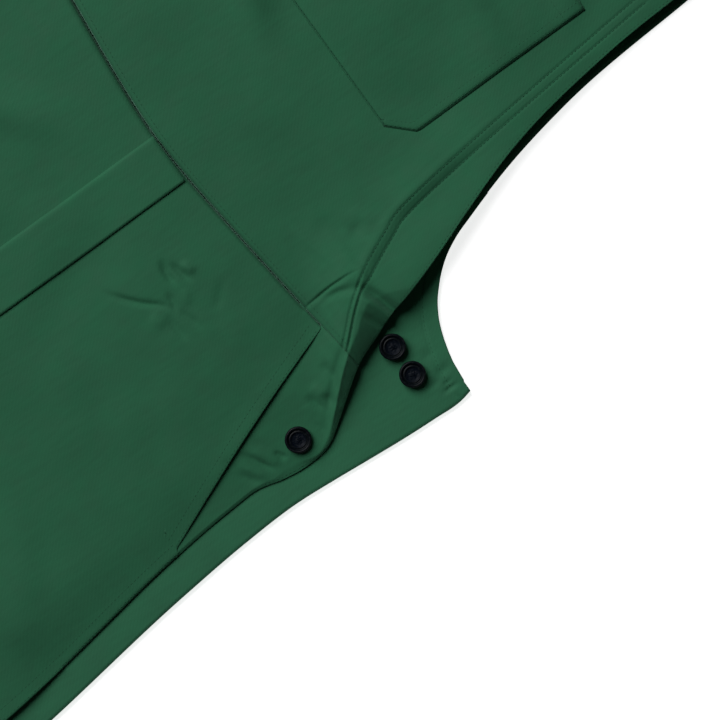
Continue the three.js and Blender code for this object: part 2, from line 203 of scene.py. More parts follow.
# The free edge, open and closed, by rows: place along the garment, top of the edge's ridge, its inset,
# its drop to the edge, its reach inward.
liftTable = {
    0: [(290, 10.5, 0, 0, 26), (200, 12.5, 0, 0, 30), (130, 15.5, 0, 0, 35), (90, 17.8, 0, 0, 38),
        (60, 19.0, 0, 0, 46), (30, 19.3, 0, 0, 46), (8, 19.8, 2, 0.5, 42),
        (-8, 21.0, 11, 3.2, 38), (-15, 22.2, 14, 6.4, 38), (-22, 22.8, 16.5, 10.2, 36), (-30, 22.8, 15, 11.4, 34),
        (-38, 22.2, 11.8, 10.4, 31), (-46, 21.2, 10, 9, 27),
        (-54, 19.4, 7.8, 7.1, 20), (-62, 17.6, 6.9, 6.4, 18), (-70, 15.6, 5.6, 5.6, 16), (-80, 13.2, 4.0, 4.8, 14),
        (-90, 10.9, 2.8, 3.8, 12), (-102, 9.4, 2.4, 3.0, 11), (-110, 8.4, 3, 2.0, 12), (-118, 7.7, 5.5, 1.4, 14),
        (-127, 7.4, 5.5, 1.1, 16), (-137, 7.4, 3, 1.1, 18), (-150, 7.4, 2.2, 1.2, 20),
        (-175, 7.4, 2, 1.2, 20), (-320, 7.0, 2, 0.7, 22)],
    1: [(290, 10.5, 0, 0, 22), (130, 12, 0, 0.2, 24), (60, 12, 2, 1.2, 20), (10, 10.6, 4, 1.6, 16),
        (-24, 9.7, 4, 1.8, 14), (-60, 9.2, 4, 2, 14), (-110, 8.4, 3, 1.9, 12), (-150, 6.9, 2, 0.7, 18),
        (-320, 6.8, 2, 0.7, 22)],
}

# Soft folds of the open side: half width, height, then the points that each passes through.
creases = [
    (0.85, -1.9, (145.4, -62), (144, -50), (143.2, -38), (143.4, -28), (144.2, -19), (146, -9)),
    (1.9, 0.55, (147.8, -60), (146.1, -34), (147.5, -16)),
    (2.8, -1.8, (146, -49), (148.4, -35), (152.5, -24.5), (158, -17)),
    (3.4, -4.6, (146, -26), (157, -17.6), (169, -12.6), (184, -8.5), (204, -3)),
    (2.2, 1.5, (157, -25), (168, -19), (180, -15), (196, -10)),
    (2.6, -1.8, (165, -31), (174, -26), (186, -20.5), (196, -16)),
    (3.6, -1.4, (178, -70), (186.5, -67.3), (195, -66)), (3.3, -1.4, (195, -81), (203, -76.5), (211, -72)),
    (2.8, -1.7, (189.5, -89), (199, -86.2), (209, -83)), (3.4, 0.9, (186, -81.5), (200, -79.5)),
    (3.0, 0.7, (194, -94), (207, -90)), (1.9, -1.4, (207, -96), (212, -93.6), (218.5, -93)),
    (2.6, 0.6, (203, -92), (217, -89)), (2.4, -1.4, (206, -127.5), (211, -125.4), (218, -122.5)),
    (2.3, -1.6, (193, -146), (207, -139.5), (221, -132)),
    (2.6, 0.9, (196, -139.5), (207, -133.5), (219, -127.5)),
    (2.6, 0.9, (200, -151), (212, -144.5), (222, -139)), (2.6, -0.9, (202, -156), (214, -150), (221, -145)),
    (3.0, -0.6, (192, -134), (208, -126)), (3.4, -0.4, (190, -156), (208, -153)),
    (2.0, -2.0, (56, -157), (68, -149.5), (79.5, -139.8), (88.3, -130), (97.5, -123.2)),
    (2.0, -1.2, (98.5, -127), (92, -123), (82, -122)), (2.6, -0.9, (93, -126), (104, -121), (118, -116.5)),
    (2.6, -1.1, (93, -131), (105, -131), (119, -129)), (2.5, -1.9, (62, -112), (73.5, -115.3), (85, -114.4)),
    (2.5, -1.6, (67, -110), (78, -107.4), (89, -104.5)), (3.2, 1.5, (72, -104), (78.5, -101.6), (85, -99.5)),
    (4.0, 1.0, (88, -139.5), (95, -138), (102, -136)), (3.4, 0.8, (86, -111.5), (100, -116)),
    (4.5, 0.5, (96, -114), (132, -112)), (3.4, -0.6, (97, -86), (114, -106)),
    (3.0, 0.6, (90, -31), (110, -29), (143, -22)), (7.0, -0.9, (100, -20), (124, -2)),
    (5.0, -0.8, (118, 11), (130, -13)), (5.5, -0.5, (92, -39), (132, -33)), (3.2, -0.7, (114, -3), (136, 5)),
    (4.5, 0.6, (108, 3), (128, 15)), (16, -1.3, (90, -146), (186, -200)), (18, 1.3, (50, -186), (160, -245)),
    (16, -1.2, (20, -24), (106, 14)), (18, -1.3, (30, 55), (120, 102)), (12, 0.8, (106, 110), (130, 10)),
    (12, 0.8, (114, -84), (156, -136)), (18, -1.3, (14, -100), (56, -210)), (9, -0.6, (112, 2), (154, 64)),
]


def creaseHeight(x, y):
    # Each crease is a Gaussian ridge or valley about its line, fading in and out over its two ends.
    total = np.zeros(np.shape(x))
    for width, height, *points in creases:
        path = np.array(points, float) if len(points) == 2 else smoothPath(points, 16)
        low, high = path.min(0) - 3 * width, path.max(0) + 3 * width
        near = (x > low[0]) & (x < high[0]) & (y > low[1]) & (y < high[1])
        if not near.any():
            continue
        px, py = x[near], y[near]
        run = np.concatenate([[0], np.cumsum(np.hypot(*np.diff(path, axis=0).T))])
        best, share = np.full(px.shape, 1e9), np.zeros(px.shape)
        for k, ((ax, ay), (bx, by)) in enumerate(zip(path[:-1], path[1:])):
            dx, dy = bx - ax, by - ay
            t = np.clip(((px - ax) * dx + (py - ay) * dy) / (dx * dx + dy * dy), 0, 1)
            d = np.hypot(px - ax - t * dx, py - ay - t * dy)
            share = np.where(d < best, (run[k] + t * (run[k + 1] - run[k])) / run[-1], share)
            best = np.minimum(best, d)
        total[near] += height * np.exp(-(best / width) ** 2) * ramp(share, 0, 0.4) * ramp(-share, -1, -0.6)
    return total


# Sets of loose folds: direction across them, their spacing, their height.
foldTable = ((72, 66, 5.5), (118, 92, 5.0), (12, 130, 4.2))
front = dict(level=9.5, broadWave=0.75, fineWave=0.22, crest=1.5, behindCrest=1.7,
             hipLevel=8.3, hipReach=40, hipWidth=24)


def folds(x, y):
    # Loose folds away from the waist: crests of bent waves, each set fading in and out in patches.
    total = 0
    for k, (turn, spacing, height) in enumerate(foldTable):
        angle = math.radians(turn)
        run = x * math.cos(angle) + y * math.sin(angle) + 0.2 * spacing * waves(x, y, spacing * 3.1, 3 * k, 4)
        crest = (0.5 + 0.5 * np.sin(2 * np.pi * run / spacing + k)) ** 2.5
        total = total + height * crest * ramp(waves(x, y, spacing * 2.4, 9 + 3 * k, 4), 0.0, 1.2)
    return total


def frontHeight(x, y, closed):
    # Top of the front layer, for x measured towards that side: a level that swells with broad waves,
    # drawn to the ridge of the free edge, which then rolls down to the edge itself, with a crest where it
    # turns over. Round the hip button the front is held down.
    table = np.array(liftTable[closed], float)
    ridge, inset, drop, reach = [easeBetween(y, table[:, 0], table[:, k]) for k in (1, 2, 3, 4)]
    side = -1 if closed else 1
    level = front["level"] + front["broadWave"] * waves(side * x, y, 150, 0, 5)
    level = level + front["fineWave"] * waves(side * x, y, 42, 6, 6)
    away = np.maximum(np.maximum(ramp(-y, 240, 420), ramp(y, 90, 170)), ramp(-side * x, -25, 60))
    level = level + folds(side * x, y) * away * ramp(foldLine(y) - garment["strip"] - x, 4, 40)
    d = distanceTo(openPath[closed], x, y)
    z = level + (ridge - level) * np.exp(-(np.maximum(d - inset, 0) / reach) ** 2)
    roll = np.clip(1 - d / np.maximum(inset, 0.05), 0, 1)
    z = z - drop * (0.72 * roll + 0.28 * roll ** 2)
    crest = ramp(drop, 2.6, 5) * (1 - closed) * ramp(-y, 44, 58)
    z = z + crest * front["crest"] * np.exp(-((d - inset - 1.0) / 1.35) ** 2)
    z = z - crest * front["behindCrest"] * np.exp(-((d - inset - 5.6) / 3.2) ** 2)
    if not closed:
        z = z + creaseHeight(x, y)
    hip = np.hypot(x - hipButton[0], y - hipButton[1])
    held = z + (np.minimum(z, front["hipLevel"]) - z) * np.exp(-(hip / front["hipWidth"]) ** 3)
    return np.where(hip < front["hipReach"], held, z)


def bothSides(x, y):
    # The front over both sides: the wearer's left is open and the right is buttoned.
    left, right = frontHeight(np.abs(x), y, 0), frontHeight(np.abs(x), y, 1)
    return right + (left - right) * ramp(x, -60, 60)


def groove(distance, depth, width):
    # A Gaussian valley at a distance from its line, depth deep and width wide.
    return -depth * np.exp(-(distance / width) ** 2)


def seamGroove(x, y, depth):
    # The waist seam: a Gaussian valley across it, shallower and narrower past the pleat, and gathered
    # deeper where it ends at the free edge.
    end = ramp(x, 181, 186)
    flat = ramp(x, 143, 148)
    return groove(np.abs(waistSeam(x) - y), depth * (1 - 0.5 * flat) + 0.9 * end, 1.35 - 0.5 * flat + 0.8 * end)


leg = dict(seamDepth=3.4, lipHeight=(1.15, 0.3), lipWidth=9, hemWidth=16, hemStep=0.55, hemGroove=0.6,
           pucker=0.3, centreGroove=0.9, under=1.7, inseamRoll=8)


def legHeight(x, y, closed):
    # The front height with a groove at the waist seam, a raised pocket mouth, a stitched and puckered hem,
    # a groove down the centre line, and an inseam that rolls down in a quarter of an ellipse.
    side = -1 if closed else 1
    z = bothSides(side * x, y)
    z = z + seamGroove(x, y, leg["seamDepth"]) + 0.12 * np.exp(-((waistSeam(x) - y - 3) / 2.5) ** 2)
    mouth = np.maximum(pocketMouth(y) - x, 0)
    along = np.clip((-52 - y) / 165, 0, 1)
    lip = (0.2 + leg["lipHeight"][closed] * np.sin(np.pi * along) ** 2) * ramp(y, -222, -205)
    z = z + lip * np.exp(-(mouth / leg["lipWidth"]) ** 2)
    hem = y - garment["hem"]
    z = z + leg["hemStep"] * ramp(-hem, -17, -14.5) + groove(hem - leg["hemWidth"], leg["hemGroove"], 1.1)
    z = z - leg["pucker"] * np.exp(-(hem / 14) ** 2) * (1 + np.sin(x / 2.9 + 1.7 * np.sin(x / 23)))
    z = z + groove(x, leg["centreGroove"], 1.3)
    inner = np.where(y < garment["crotch"], x - inseam(y), 60)
    t = np.clip(inner / leg["inseamRoll"], 0.02, 1)
    return leg["under"] + (z - leg["under"]) * np.sqrt(1 - (1 - t) ** 2)


panel = dict(sink=1.25, seamDepth=1.6, underLeg=7.6)


def panelHeight(x, y, closed):
    # The side panel goes under the front leg at the pocket mouth, starts a little below it there,
    # and comes up level with the rest in an exponential away from it.
    z = frontHeight(x, y, closed)
    below = np.maximum(waistSeam(x) - y, 0)
    away = x - pocketMouth(y)
    sink = np.where(away > 0, np.exp(-away / 15), 1) * (1 - np.exp(-(below / 10) ** 2))
    z = z - panel["sink"] * sink * ramp(y, -226, -190) + seamGroove(x, y, panel["seamDepth"])
    return np.minimum(z, z + (panel["underLeg"] - z) * ramp(-away, 0, 3))


stand = dict(top=5.0, fall=1.6, wave=0.18, hemWidth=10.5, hemStep=0.45, hemGroove=0.5, buttonDip=0.25)
# Worn dips near the stand's corner: x, y, width across, width along, depth.
standDips = ((242, -9.5, 1.6, 4.5, 1.3), (238, -9, 1.4, 3.5, 0.9), (230, -7, 3, 5, 1.1),
             (233.5, -18, 2.4, 6, 0.9), (216, -9, 3, 4, 0.7))
scoopPath = sampled(scoopLine, garment["backTop"], 0.5, 200)


def extensionHeight(x, y):
    # The button stand: highest along the fold, a little lower inside, with a thicker hem along the scoop
    # and Gaussian dips under its buttons and near its corner.
    z = stand["top"] - stand["fall"] * ramp(foldLine(y) - x, 6, 80) + stand["wave"] * waves(x, y, 60, 13, 5)
    hem = distanceTo(scoopPath, x, y)
    z = z + stand["hemStep"] * ramp(-hem, -11.5, -9.5)
    for buttonX, buttonY in waistButtons:
        z = z + groove(np.hypot(x - buttonX, y - buttonY), stand["buttonDip"], 8)
    for dipX, dipY, across, along, depth in standDips:
        z = z + groove(np.hypot((x - dipX) / across, (y - dipY) / along), depth, 1)
    return z + groove(hem - stand["hemWidth"], stand["hemGroove"], 0.8)


def backHeight(x, y):
    # The back lies on the floor: one level with faint broad waves.
    return 1.0 + 0.15 * waves(x, y, 120, 20, 4)


def meshFrom(name, points, faces, material, smooth=True, uv=None, ends=()):
    # Points and quads as a mesh, with any larger end faces after them.
    mesh = bpy.data.meshes.new(name)
    mesh.from_pydata(points.tolist(), [], faces.tolist() + [list(end) for end in ends])
    if uv is not None:
        layer = mesh.uv_layers.new(name="cloth")
        loops = np.empty(len(mesh.loops), np.int32)
        mesh.loops.foreach_get("vertex_index", loops)
        layer.data.foreach_set("uv", uv[loops].astype(np.float32).ravel())
    mesh.polygons.foreach_set("use_smooth", [smooth] * len(mesh.polygons))
    mesh.materials.append(material)
    mesh.update()
    item = bpy.data.objects.new(name, mesh)
    bpy.context.scene.collection.objects.link(item)
    return item


def gridFaces(rows, columns, closedColumns=False):
    # Quads between neighbouring rows and columns of a grid numbered row by row.
    last = columns if closedColumns else columns - 1
    r, c = np.meshgrid(np.arange(rows - 1), np.arange(last), indexing="ij")
    n = (c + 1) % columns
    quads = np.stack([r * columns + c, r * columns + n, (r + 1) * columns + n, (r + 1) * columns + c], -1)
    return quads.reshape(-1, 4)


def clothFrom(name, x, y, z, material, side=1, thickness=twillThickness):
    # A grid of the cloth's upper face, thickened downwards; rows run down the garment.
    points = place(np.column_stack([(side * x).ravel(), y.ravel(), z.ravel()]))
    faces = gridFaces(*x.shape)
    a, b, c = points[faces[0, 0]], points[faces[0, 1]], points[faces[0, 2]]
    if np.cross(b - a, c - a)[2] < 0:
        faces = faces[:, ::-1]
    item = meshFrom(name, points, faces, material, uv=points[:, :2])
    solid = item.modifiers.new("thickness", "SOLIDIFY")
    solid.thickness = thickness / 1000
    solid.offset = -1
    return item


def stepped(*stops):
    # Values from each stop to the next, a stretch divided evenly at about the step given with its first stop.
    parts = [np.linspace(a, b, max(1, round(abs(b - a) / step)), endpoint=False)
             for (a, step), (b, _) in zip(stops[:-1], stops[1:])]
    return np.append(np.concatenate(parts), stops[-1][0])


def stitchRow(path, heightAt, side=1, pitch=3.0, length=2.1, radius=0.2, sink=0.14):
    # One short tube for every stitch along a path, round in section and let into the cloth at its ends.
    path = np.array(path, float)
    run = np.concatenate([[0], np.cumsum(np.hypot(*np.diff(path, axis=0).T))])
    starts = np.arange(pitch * 0.3, run[-1] - length, pitch)
    if len(starts) == 0:
        return np.zeros((0, 3)), np.zeros((0, 4), int)
    rings, sides = np.linspace(0, 1, 5), 6
    s = starts[:, None] + rings[None] * length
    px, py = np.interp(s, run, path[:, 0]), np.interp(s, run, path[:, 1])
    pz = heightAt(px, py) - sink + radius * 0.9 * np.sin(np.pi * rings)[None] ** 0.6
    dx, dy = np.gradient(px, axis=1), np.gradient(py, axis=1)
    norm = np.hypot(dx, dy)
    nx, ny = -dy / norm, dx / norm
    angle = np.arange(sides) * 2 * np.pi / sides
    size = radius * (0.55 + 0.45 * np.sin(np.pi * rings) ** 0.5)[None, :, None]
    x = px[..., None] + nx[..., None] * size * np.cos(angle)
    y = py[..., None] + ny[..., None] * size * np.cos(angle)
    z = pz[..., None] + 0.8 * size * np.sin(angle)
    points = place(np.column_stack([side * x.ravel(), y.ravel(), z.ravel()]))
    last = (len(rings) - 1) * sides
    ends = [(0, 3, 2, 1), (0, 5, 4, 3), (last, last + 1, last + 2, last + 3), (last, last + 3, last + 4, last + 5)]
    one = np.concatenate([gridFaces(len(rings), sides, True), ends])
    if side < 0:
        one = one[:, ::-1]
    faces = (one[None] + (np.arange(len(starts)) * len(rings) * sides)[:, None, None]).reshape(-1, 4)
    return points, faces


def stitchPiece(name, rows):
    # Several rows of stitches gathered in one mesh.
    points, faces, count = [], [], 0
    for p, f in rows:
        points.append(p)
        faces.append(f + count)
        count += len(p)
    return meshFrom(name, np.concatenate(points), np.concatenate(faces), materials["thread"])


def offsetPath(path, amount):
    # A path moved sideways by amount, towards its left hand.
    path = np.array(path, float)
    d = np.gradient(path, axis=0)
    n = np.column_stack([-d[:, 1], d[:, 0]]) / np.hypot(d[:, 0], d[:, 1])[:, None]
    return path + amount * n


def newMaterial(name):
    # An empty material: its node tree and its shader.
    material = bpy.data.materials.new(name)
    material.use_nodes = True
    return material, material.node_tree, material.node_tree.nodes["Principled BSDF"]


def mapRange(tree, value, low, high, toLow, toHigh):
    # value carried from low..high to toLow..toHigh, held at the ends.
    node = tree.nodes.new("ShaderNodeMapRange")
    for k, v in enumerate((low, high, toLow, toHigh)):
        node.inputs[k + 1].default_value = v
    tree.links.new(value, node.inputs[0])
    return node.outputs[0]


def combine(tree, kind, a, b):
    # One arithmetic step between two values, each a number or a node's output.
    node = tree.nodes.new("ShaderNodeMath")
    node.operation = kind
    for k, v in enumerate((a, b)):
        if isinstance(v, (int, float)):
            node.inputs[k].default_value = v
        else:
            tree.links.new(v, node.inputs[k])
    return node.outputs[0]


def noise(tree, source, scale, detail=4.0, stretch=None):
    # Noise at a scale per metre; stretch draws it out along an axis.
    node = tree.nodes.new("ShaderNodeTexNoise")
    node.inputs["Scale"].default_value = scale
    node.inputs["Detail"].default_value = detail
    if stretch:
        mapping = tree.nodes.new("ShaderNodeMapping")
        mapping.inputs["Scale"].default_value = stretch
        tree.links.new(source, mapping.inputs[0])
        source = mapping.outputs[0]
    tree.links.new(source, node.inputs["Vector"])
    return node.outputs["Fac"]


def bumpNode(tree, height, strength, distance, normal=None):
    # Height as bump, on top of another bump's normal where one is given.
    node = tree.nodes.new("ShaderNodeBump")
    node.inputs["Strength"].default_value = strength
    node.inputs["Distance"].default_value = distance
    tree.links.new(height, node.inputs["Height"])
    if normal:
        tree.links.new(normal, node.inputs["Normal"])
    return node.outputs[0]


def twillMaterial(name, colour, weave=0.00042, strength=0.16, sheen=0.2):
    # Diagonal twill lines and yarns as bump, and a colour that shifts a little with the weave,
    # with soft patches of fading and with fine slubs.
    material, tree, body = newMaterial(name)
    links = tree.links
    where = tree.nodes.new("ShaderNodeTexCoord").outputs["Object"]
    wave = tree.nodes.new("ShaderNodeTexWave")
    wave.wave_type, wave.bands_direction = "BANDS", "DIAGONAL"
    wave.inputs["Scale"].default_value = 1 / (weave * 20 * math.sqrt(3) / 6.2832 * 2)
    wave.inputs["Distortion"].default_value = 0.6
    wave.inputs["Detail"].default_value = 1.5
    links.new(where, wave.inputs["Vector"])
    lines = wave.outputs["Fac"]
    mottle = noise(tree, where, 75, 6)
    shade = 1.0
    for value, low, high, darker, lighter in (
            (noise(tree, where, 9, 5), 0.3, 0.7, -0.07, 0.07), (mottle, 0.3, 0.7, -0.05, 0.05),
            (noise(tree, where, 420, 3, (1, 0.12, 1)), 0.35, 0.65, -0.035, 0.035), (lines, 0, 1, -0.02, 0.015)):
        shade = combine(tree, "ADD", mapRange(tree, value, low, high, darker, lighter), shade)
    tint = tree.nodes.new("ShaderNodeHueSaturation")
    tint.inputs["Color"].default_value = (*colour, 1)
    links.new(shade, tint.inputs["Value"])
    links.new(tint.outputs[0], body.inputs["Base Color"])
    body.inputs["Sheen Weight"].default_value = sheen
    body.inputs["Sheen Roughness"].default_value = 0.45
    body.inputs["Sheen Tint"].default_value = (0.35, 0.75, 0.55, 1)
    body.inputs["Specular IOR Level"].default_value = 0.22
    links.new(mapRange(tree, mottle, 0.3, 0.7, 0.78, 0.92), body.inputs["Roughness"])
    yarn = combine(tree, "MULTIPLY", noise(tree, where, 2600, 2, (1, 0.35, 1)), 0.5)
    height = combine(tree, "ADD", combine(tree, "MULTIPLY", lines, 0.6), yarn)
    fine = bumpNode(tree, height, strength, 0.00025)
    links.new(bumpNode(tree, noise(tree, where, 38, 5), 0.35, 0.0012, fine), body.inputs["Normal"])
    return material


def hardMaterial(name, colour, roughness, metallic, grain, bumpDepth, coat=0.0, specular=0.5):
    # Lacquer or metal: roughness mottled by noise, fine pits or brushing as bump, and worn lighter spots.
    material, tree, body = newMaterial(name)
    pits = noise(tree, tree.nodes.new("ShaderNodeTexCoord").outputs["Object"], grain, 5)
    gloss = mapRange(tree, pits, 0.3, 0.75, roughness * 0.8, min(1, roughness * 1.35))
    tree.links.new(gloss, body.inputs["Roughness"])
    mix = tree.nodes.new("ShaderNodeMix")
    mix.data_type = "RGBA"
    mix.inputs[6].default_value = (*colour, 1)
    mix.inputs[7].default_value = (*[min(1, c * 1.9 + 0.01) for c in colour], 1)
    tree.links.new(mapRange(tree, pits, 0.55, 0.8, 0, 1), mix.inputs[0])
    tree.links.new(mix.outputs[2], body.inputs["Base Color"])
    body.inputs["Metallic"].default_value = metallic
    body.inputs["Specular IOR Level"].default_value = specular
    body.inputs["Coat Weight"].default_value = coat
    body.inputs["Coat Roughness"].default_value = 0.25
    tree.links.new(bumpNode(tree, pits, 0.5, bumpDepth), body.inputs["Normal"])
    return material


materials = {
    "twill": twillMaterial("greenTwill", (0.0173, 0.106, 0.0505)),
    # The stand's twill is a lighter copy of the same green cloth: painted light, for the stand that takes more light.
    "stand": twillMaterial("greenTwillStandPaintedLight", (0.0235, 0.128, 0.063)),
    # The inner twill is a darker copy of the same green cloth: painted shade, for the back bib lying in the shadow of
    # the gap under the front's edge, and for the pocket bags.
    "inner": twillMaterial("greenTwillInnerPaintedShade", (0.0145, 0.083, 0.04), strength=0.25, sheen=0.1),
    "strap": twillMaterial("strapTwill", (0.0165, 0.094, 0.045), weave=0.0009),
    "thread": hardMaterial("thread", (0.014, 0.08, 0.04), 0.7, 0.0, 3000, 0.00005, specular=0.2),
    "button": hardMaterial("buttonLacquer", (0.002, 0.0035, 0.005), 0.36, 0.0, 700, 0.00012, specular=0.09),
    "buttonFace": hardMaterial("buttonFace", (0.0022, 0.004, 0.0075), 0.4, 0.0, 900, 0.0006, specular=0.06),
    "buckle": hardMaterial("buckleLacquer", (0.006, 0.007, 0.009), 0.3, 0.5, 700, 0.0001, coat=0.3),
    "steel": hardMaterial("tackSteel", (0.5, 0.52, 0.53), 0.32, 1.0, 900, 0.00005),
}
print("stage: materials")


def settle(item, nodes, body="garment"):
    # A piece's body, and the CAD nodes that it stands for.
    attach(item, body)
    if nodes:
        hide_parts(*nodes)
    return item


def columnsBetween(count, edge=0.0):
    # Shares from 0 to 1, closer together towards both ends when edge is above 0.
    t = np.linspace(0, 1, count)
    return t - edge * np.sin(2 * np.pi * t) / (2 * np.pi)


def makeBack():
    # Two legs and the high back, each a flat grid between the centre and the fold or the scoop.
    values = dict(step=9, legColumns=40, bibColumns=80, fromFold=5.2, fromScoop=0.3, hemStep=0.5)
    for side, word in ((1, "left"), (-1, "right")):
        rows = stepped((garment["backSeam"] - 0.2, values["step"]), (-330, 14), (garment["hem"], 0))
        u = columnsBetween(values["legColumns"])
        inner = np.where(rows > garment["crotch"], 0, inseam(rows) + 1.2)
        outer = foldLine(rows) - values["fromFold"]
        x = inner[:, None] + (outer - inner)[:, None] * u[None]
        y = np.repeat(rows[:, None], len(u), 1)
        item = clothFrom("backLeg" + word.title(), x, y, backHeight(x, y), materials["twill"], side)
        settle(item, [f"back_leg_{word}"])
    rows = np.concatenate([np.linspace(garment["backTop"], 60, 60), np.linspace(57, 1, 30),
                           np.linspace(-1, garment["backSeam"], 8)])
    u = columnsBetween(values["bibColumns"])
    outer = foldLine(rows) - values["fromFold"]
    outer = np.where(rows > 0.6, np.minimum(scoopLine(np.maximum(rows, 0.6)) - values["fromScoop"], outer), outer)
    x = -outer[:, None] + 2 * outer[:, None] * u[None]
    y = np.repeat(rows[:, None], len(u), 1)
    z = backHeight(x, y) + values["hemStep"] * ramp(y, 262, 264)
    # The back bib takes the darker inner twill: painted shade, for the gap's shadow.
    item = clothFrom("backBib", x, y, z, materials["inner"])
    settle(item, ["back_bib"])


def makeExtensions():
    # The cloth runs in over the garment, out to the fold, round it in half an ellipse, and a little way in
    # underneath. Above the waist its rows follow the scoop.
    values = dict(columns=72, lap=7, roll=2.6, low=0.85, rollColumns=12, under=(0.8, 2.4), stitchesIn=10)
    for side, word in ((1, "left"), (-1, "right")):
        rows = stepped((0, 1.1), (-40, 1.9), (-170, 8), (garment["hem"], 0))
        edge = foldLine(rows) - values["roll"]
        onPanel = ramp(rows, -168, -150)
        inner = sideSeam(rows) - values["lap"]
        inner = inner + (foldLine(0) - garment["standWidth"] - sideSeam(rows) + values["lap"]) * onPanel
        flatX = inner[:, None] + (edge - inner)[:, None] * columnsBetween(values["columns"], 0.5)[None]
        top = np.interp(flatX, scoopPath[:, 0], scoopPath[:, 1], right=0)
        flatY = rows[:, None] + np.maximum(top, 0) * ramp(rows, -70, 0)[:, None]
        flatZ = extensionHeight(flatX, np.minimum(flatY, 60))
        edgeZ = flatZ[:, -1]
        angle = np.linspace(0, np.pi, values["rollColumns"])[1:]
        middle, half = (edgeZ + values["low"]) / 2, (edgeZ - values["low"]) / 2
        rollX = edge[:, None] + values["roll"] * np.sin(angle)[None]
        rollZ = middle[:, None] + half[:, None] * np.cos(angle)[None]
        underX = edge[:, None] - np.linspace(*values["under"], 3)[None]
        underZ = np.full_like(underX, values["low"])
        x = np.concatenate([flatX, rollX, underX], 1)
        z = np.concatenate([flatZ, rollZ, underZ], 1)
        y = np.concatenate([flatY, np.repeat(flatY[:, -1:], rollX.shape[1] + 3, 1)], 1)
        # The stand takes the lighter twill: painted light.
        item = clothFrom("sideExtension" + word.title(), x, y, z, materials["stand"], side)
        settle(item, [f"side_extension_{word}", f"side_fold_{word}"])

        hem = offsetPath(scoopPath[(scoopPath[:, 1] < 110) & (scoopPath[:, 0] < 246)], -values["stitchesIn"])
        hem = hem[hem[:, 0] < foldLine(0) - 3]
        settle(stitchPiece("extensionStitches" + word.title(), [stitchRow(hem, extensionHeight, side)]), [])


def followSeam(rows, u, innerAt, outerAt, seamRow, until, gap):
    # A grid whose first or last row lies along the waist seam: each row is lifted to the seam's slope,
    # less and less until another height, and then spread between the two side lines at its own heights.
    x = innerAt(rows)[:, None] + (outerAt(rows) - innerAt(rows))[:, None] * u[None]
    for _ in range(3):
        y = rows[:, None] + (waistSeam(x) - seamRow + gap) * ramp((until - rows) / (until - seamRow), 0, 1)[:, None]
        x = innerAt(y) + (outerAt(y) - innerAt(y)) * u[None]
    return x, y


def makeLegs():
    # Front legs from the waist seam to the hem; the open side, which is seen close, has the finer grid.
    values = dict(top=-56, spreadTo=-260, gap=-0.15, twin=(1.6, 7.6), hemStitches=16)
    for side, word, closed in ((1, "left", 0), (-1, "right", 1)):
        if closed:
            rows = stepped((values["top"], 2.4), (-260, 5), (-330, 6), (-1030, 2), (garment["hem"], 0))
            u = columnsBetween(110, 0.6)
        else:
            rows = stepped((values["top"], 1.1), (-160, 1.7), (-260, 3.5), (-330, 6), (-1030, 2), (garment["hem"], 0))
            u = columnsBetween(148, 0.3)
        x, y = followSeam(rows, u, lambda v: np.where(v > garment["crotch"], 0, inseam(v)),
                          lambda v: np.where(v > garment["mouthEnd"][1], pocketMouth(v), sideSeam(v)),
                          values["top"], values["spreadTo"], values["gap"])
        item = clothFrom("frontLeg" + word.title(), x, y, legHeight(x, y, closed), materials["twill"], side)
        settle(item, [f"front_leg_{word}", f"side_seam_{word}", f"inseam_{word}"])

        heightAt = partial(legHeight, closed=closed)
        mouth, seam = sampled(pocketMouth, -57, -214, 90), sampled(sideSeam, -214, -1056, 200)
        rowsOut = [stitchRow(offsetPath(path, -d), heightAt, side) for path in (mouth, seam) for d in values["twin"]]
        hemY = garment["hem"] + values["hemStitches"]
        hem = np.array([(inseam(hemY) + 3, hemY), (sideSeam(hemY) - 2, hemY)])
        rowsOut.append(stitchRow(hem, heightAt, side))
        settle(stitchPiece("legStitches" + word.title(), rowsOut), [])


def makeSidePanels():
    # The pocket's facing, which carries on as the buttoned flap of the side opening.
    values = dict(top=-50, spreadTo=-120, gap=0.4, underLeg=22, belowMouth=4, stitchesIn=1.8)
    for side, word, closed in ((1, "left", 0), (-1, "right", 1)):
        rows = np.linspace(values["top"], garment["mouthEnd"][1] - values["belowMouth"], 95 if closed else 190)
        u = columnsBetween(64 if closed else 110, 0.4)
        x, y = followSeam(rows, u, lambda v: pocketMouth(v) - values["underLeg"], lambda v: freeEdge(v, closed),
                          values["top"], values["spreadTo"], values["gap"])
        item = clothFrom("sidePanel" + word.title(), x, y, panelHeight(x, y, closed), materials["twill"], side)
        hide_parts(f"side_panel_{word}")
        edge = offsetPath(sampled(lambda v: freeEdge(v, closed), -52, -148, 90), -values["stitchesIn"])
        row = stitchRow(edge, partial(panelHeight, closed=closed), side)
        stitches = stitchPiece("panelStitches" + word.title(), [row])
        for part in (item, stitches):
            if closed:
                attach(part, "garment")
            else:
                liftWithFlap(part, True)


flapBend = dict(start=146, end=178, height=9.8, fadeFrom=-98, fadeTo=-56)


def liftWithFlap(part, isPanel=False):
    # Bakes the part's transform into its mesh. The flap's start and end are placed in the frame but not used, and a
    # panel's points are read but not changed, so the cloth does not turn with the flap.
    start, end = flapBend["start"], flapBend["end"]
    place([(start, 0, flapBend["height"])])[0]
    place([(end, 0, flapBend["height"])])[0]
    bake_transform(part)
    if isPanel:
        points = np.empty(len(part.data.vertices) * 3, np.float32)
        part.data.vertices.foreach_get("co", points)


facing = dict(groove=1.1, grooveWidth=0.85, ridge=0.9, ridgeWidth=1.1, lip=0.35, step=2.9, half=3.6, back=20)
facingLines = {}


